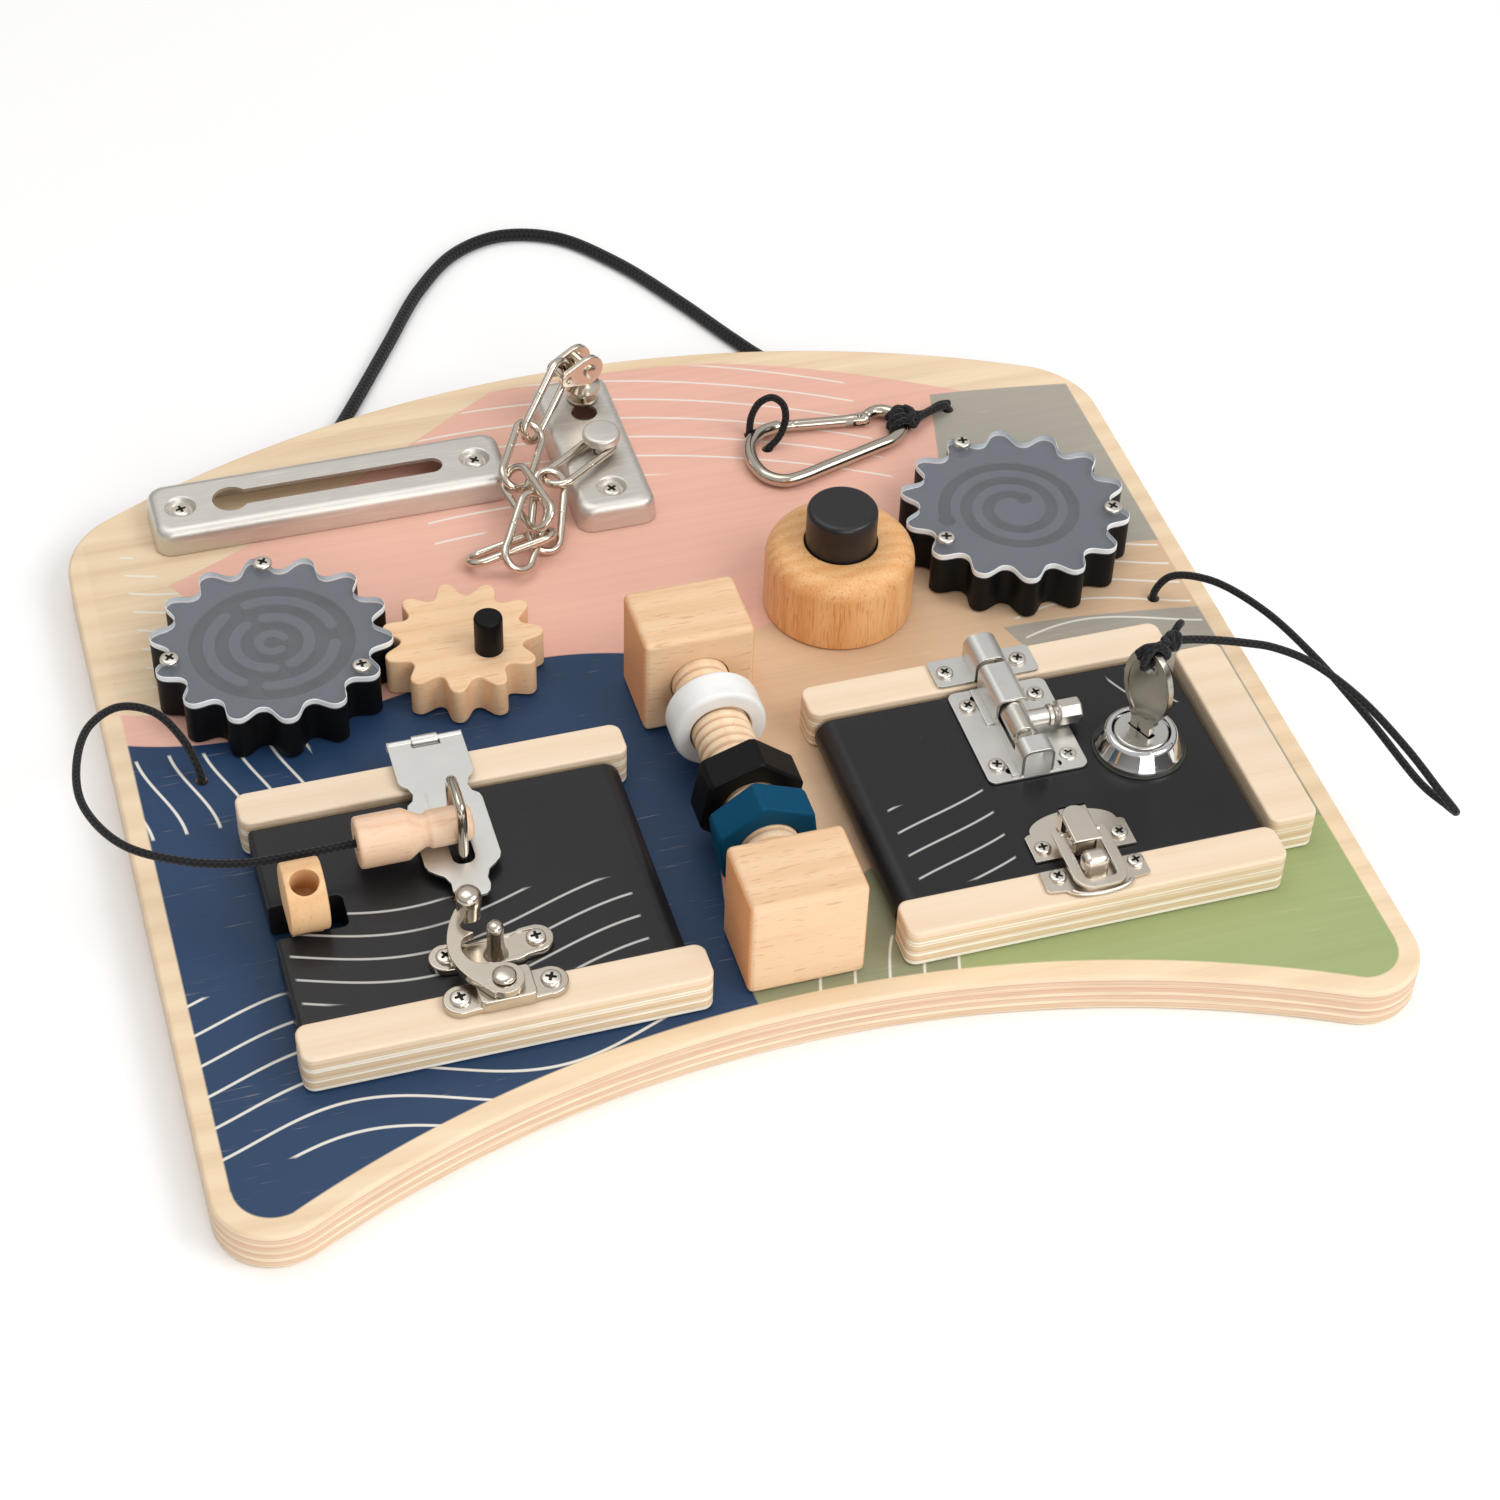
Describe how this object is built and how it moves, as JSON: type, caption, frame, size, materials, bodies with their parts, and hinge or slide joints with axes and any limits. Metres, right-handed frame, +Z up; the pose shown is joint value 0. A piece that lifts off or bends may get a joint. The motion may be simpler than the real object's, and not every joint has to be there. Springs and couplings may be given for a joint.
{
  "type": "latch board",
  "caption": "Wooden activity board with doors, latches, a lock and key, meshing gears, nuts on a spindle, a push button, a chain set and a snap hook.",
  "frame": {"origin": "centre of the board's underside, where it rests on the table", "axes": "+Z up, +Y to the back edge with the hanging cord, +X to the side with the barrel bolt and lock"},
  "size_m": [0.3952, 0.4407, 0.0659],
  "materials": {
    "board_birch": "satin",
    "rail_birch": "satin",
    "beech": "satin",
    "housing_oak": "satin",
    "door_black": "satin",
    "brushed_steel": "brushed",
    "bright_steel": "polished",
    "satin_nickel": "satin",
    "cast_nickel": "satin",
    "chrome": "polished",
    "key_nickel": "satin",
    "gear_black": "matte",
    "clear_cover": "gloss",
    "black_plastic": "satin",
    "white_plastic": "satin",
    "blue_plastic": "satin",
    "cord_black": "matte"
  },
  "bodies": {
    "board": {"board": "board_birch", "rail_left_back": "rail_birch", "rail_left_front": "rail_birch", "rail_right_back": "rail_birch", "rail_right_front": "rail_birch", "side_strip": "rail_birch", "block_front": "beech", "block_back": "beech", "spindle": "beech", "button_housing": "housing_oak", "chain_track": "brushed_steel", "chain_plate": "brushed_steel", "clevis": "brushed_steel", "chain_link_1": "bright_steel", "chain_link_2": "bright_steel", "chain_link_3": "bright_steel", "chain_link_4": "bright_steel", "chain_link_5": "bright_steel", "chain_link_6": "bright_steel", "chain_link_7": "bright_steel", "hasp_leaf": "satin_nickel", "hook_base": "cast_nickel", "bolt_keeper": "satin_nickel", "catch_hook": "satin_nickel", "snap_body": "bright_steel", "hanging_cord": "cord_black", "peg_cord": "cord_black", "key_cord": "cord_black", "loop_cord": "cord_black", "tether_cord": "cord_black", "tether_knot": "cord_black"},
    "left_door": {"left_door": "door_black", "staple": "bright_steel", "strike_plate": "cast_nickel"},
    "turn_latch": {"turn_latch": "beech"},
    "hasp": {"hasp_plate": "satin_nickel"},
    "lock_peg": {"lock_peg": "beech"},
    "hook_arm": {"hook_arm": "cast_nickel"},
    "right_door": {"right_door": "door_black", "bolt_plate": "satin_nickel", "toggle_base": "satin_nickel", "lock_body": "chrome"},
    "bolt_rod": {"bolt_rod": "cast_nickel"},
    "toggle_lever": {"toggle_lever": "satin_nickel"},
    "toggle_loop": {"toggle_loop": "satin_nickel"},
    "lock_plug": {"lock_plug": "chrome"},
    "key": {"key": "key_nickel"},
    "left_gear": {"left_gear": "gear_black", "left_gear_cover": "clear_cover"},
    "small_gear": {"small_gear": "beech", "gear_knob": "black_plastic"},
    "right_gear": {"right_gear": "gear_black", "right_gear_cover": "clear_cover"},
    "push_button": {"push_button": "black_plastic"},
    "nut_white": {"nut_white": "white_plastic"},
    "nut_black": {"nut_black": "black_plastic"},
    "nut_blue": {"nut_blue": "blue_plastic"},
    "snap_gate": {"snap_gate": "bright_steel"},
    "chain_stud": {"chain_stud": "brushed_steel"}
  },
  "joints": [
    {"name": "left_door_hinge", "type": "hinge", "parent": "board", "child": "left_door", "pos_m": [-0.0375, -0.072, 0.0204], "axis": [0, 1, 0], "range_deg": [0, 0.5]},
    {"name": "turn_latch_turn", "type": "hinge", "parent": "board", "child": "turn_latch", "pos_m": [-0.13375, -0.07125, 0.03], "axis": [0, 0, 1], "range_deg": [0, 90]},
    {"name": "hasp_hinge", "type": "hinge", "parent": "board", "child": "hasp", "pos_m": [-0.0864, -0.0134, 0.0299], "axis": [-1, 0, 0], "range_deg": [0, 1]},
    {"name": "lock_peg_slide", "type": "slide", "parent": "left_door", "child": "lock_peg", "axis": [-1, 0, 0], "range_m": [0, 0.012]},
    {"name": "hook_swing", "type": "hinge", "parent": "board", "child": "hook_arm", "pos_m": [-0.0865, -0.1162, 0.034], "axis": [0, 0, 1], "range_deg": [-28, 100]},
    {"name": "right_door_hinge", "type": "hinge", "parent": "board", "child": "right_door", "pos_m": [0.0365, -0.072, 0.0204], "axis": [0, -1, 0], "range_deg": [0, 95]},
    {"name": "bolt_slide", "type": "slide", "parent": "right_door", "child": "bolt_rod", "axis": [0, 1, 0], "range_m": [-0.0084, 0.006]},
    {"name": "toggle_lever_hinge", "type": "hinge", "parent": "right_door", "child": "toggle_lever", "pos_m": [0.0896, -0.106, 0.0313], "axis": [1, 0, 0], "range_deg": [0, 100]},
    {"name": "toggle_loop_hinge", "type": "hinge", "parent": "toggle_lever", "child": "toggle_loop", "pos_m": [0.0896, -0.1025, 0.0313], "axis": [1, 0, 0], "range_deg": [-125, 0]},
    {"name": "lock_turn", "type": "hinge", "parent": "right_door", "child": "lock_plug", "pos_m": [0.1223, -0.06925, 0.03], "axis": [0, 0, 1], "range_deg": [0, 90]},
    {"name": "key_slide", "type": "slide", "parent": "lock_plug", "child": "key", "axis": [0, 0, 1], "range_m": [0, 0.018]},
    {"name": "left_gear_spin", "type": "hinge", "parent": "board", "child": "left_gear", "pos_m": [-0.122, 0.0423, 0.02], "axis": [0, 0, 1], "continuous": true},
    {"name": "small_gear_spin", "type": "hinge", "parent": "board", "child": "small_gear", "pos_m": [-0.0646, 0.0303, 0.02], "axis": [0, 0, 1], "continuous": true},
    {"name": "right_gear_spin", "type": "hinge", "parent": "board", "child": "right_gear", "pos_m": [0.1233, 0.043, 0.02], "axis": [0, 0, 1], "continuous": true},
    {"name": "button_press", "type": "slide", "parent": "board", "child": "push_button", "axis": [0, 0, -1], "range_m": [0, 0.006], "stiffness_N_per_m": 160, "springref_m": -0.004},
    {"name": "nut_white_spin", "type": "hinge", "parent": "board", "child": "nut_white", "pos_m": [0, -0.02875, 0.032], "axis": [0, 1, 0], "continuous": true},
    {"name": "nut_black_spin", "type": "hinge", "parent": "board", "child": "nut_black", "pos_m": [0, -0.06175, 0.032], "axis": [0, 1, 0], "continuous": true},
    {"name": "nut_blue_spin", "type": "hinge", "parent": "board", "child": "nut_blue", "pos_m": [0, -0.0795, 0.032], "axis": [0, 1, 0], "continuous": true},
    {"name": "gate_swing", "type": "hinge", "parent": "board", "child": "snap_gate", "pos_m": [0.0936, 0.1138, 0.0166], "axis": [0, 0, 1], "range_deg": [0, 25], "stiffness_Nm_per_rad": 0.01, "springref_deg": -17.19},
    {"name": "chain_stud_turn", "type": "hinge", "parent": "board", "child": "chain_stud", "pos_m": [0.0019, 0.112, 0.025], "axis": [0, 0, 1], "continuous": true}
  ],
  "couplings": [
    {"joint": "small_gear_spin", "follows": "left_gear_spin", "ratio": -1.2727},
    {"joint": "toggle_loop_hinge", "follows": "toggle_lever_hinge", "ratio": -1.25}
  ]
}
